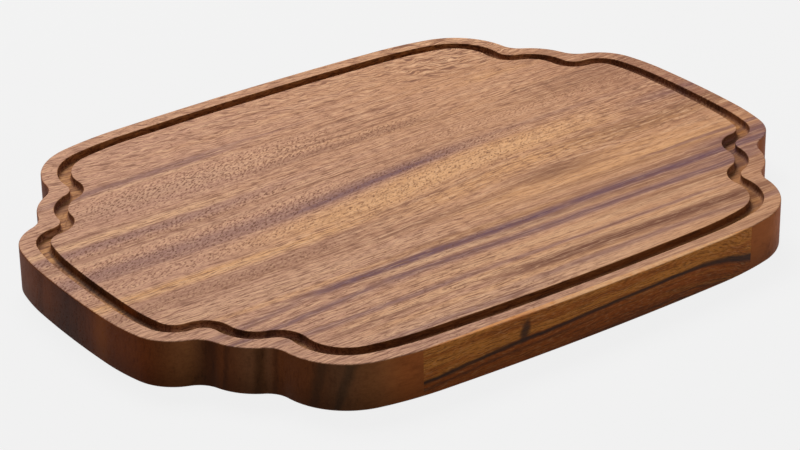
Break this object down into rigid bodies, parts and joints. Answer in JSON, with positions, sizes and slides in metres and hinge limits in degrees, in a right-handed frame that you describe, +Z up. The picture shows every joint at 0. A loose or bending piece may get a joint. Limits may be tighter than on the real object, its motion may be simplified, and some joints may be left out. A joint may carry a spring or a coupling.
{
  "type": "serving board",
  "caption": "Flat hardwood serving board with bracket-shaped corners, a juice groove that follows its outline and a glued sliver of a stave along its front side.",
  "frame": {"origin": "middle of the flat underside", "axes": "+X along the grain and the board's length, -Y the front side that holds the glued sliver, +Z up out of the grooved face"},
  "size_m": [0.4064, 0.3048, 0.0254],
  "materials": {
    "panel_wood": "oiled satin",
    "strip_wood": "oiled satin"
  },
  "bodies": {
    "root": {"board_panel": "panel_wood", "front_edge_strip": "strip_wood"}
  },
  "joints": []
}
